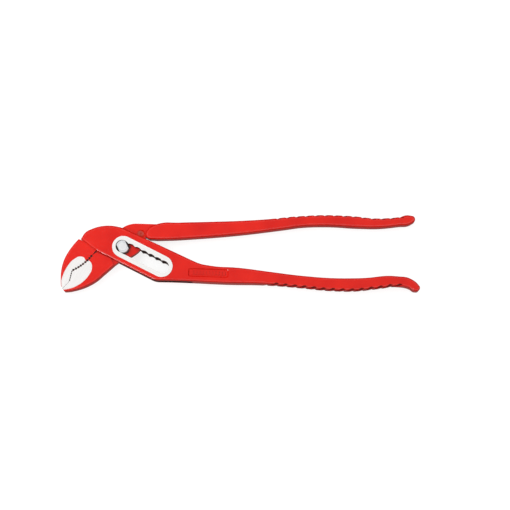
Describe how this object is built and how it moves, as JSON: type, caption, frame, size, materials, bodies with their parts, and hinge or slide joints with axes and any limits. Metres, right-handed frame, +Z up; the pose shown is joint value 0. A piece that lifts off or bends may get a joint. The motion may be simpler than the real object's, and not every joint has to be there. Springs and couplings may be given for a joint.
{
  "type": "tongue and groove pliers",
  "caption": "Box-joint adjustable pliers with toothed angled jaws, a notched slot joint and two long lacquered handles with grooved backs.",
  "frame": {"origin": "on the surface the pliers lie on, under the middle of their length and width", "axes": "+X from the jaws towards the handle ends, +Y from the box lever's handle towards the through lever's handle, +Z up, normal to the pliers' flat sides"},
  "size_m": [0.2493, 0.0538, 0.013],
  "materials": {
    "box_lever_lacquer": "gloss red lacquer on forged steel, ground bare at the boss and jaw sides",
    "through_lever_lacquer": "gloss red lacquer on forged steel, ground bare at the jaw sides",
    "polished_steel": "polished steel",
    "ground_steel": "ground steel"
  },
  "bodies": {
    "box_side": {"box_lever": "box_lever_lacquer"},
    "pivot": {"joint_rivet": "polished_steel"},
    "through_side": {"through_lever": "through_lever_lacquer", "front_locking_collar": "ground_steel", "rear_locking_collar": "ground_steel"}
  },
  "joints": [
    {"name": "jaw_adjust", "type": "slide", "parent": "box_side", "child": "pivot", "axis": [0.891, -0.454, 0], "range_m": [0, 0.0315]},
    {"name": "jaw_open", "type": "hinge", "parent": "pivot", "child": "through_side", "pos_m": [-0.0819, 0.0041, 0.0065], "axis": [0, 0, 1], "range_deg": [0, 38]}
  ]
}
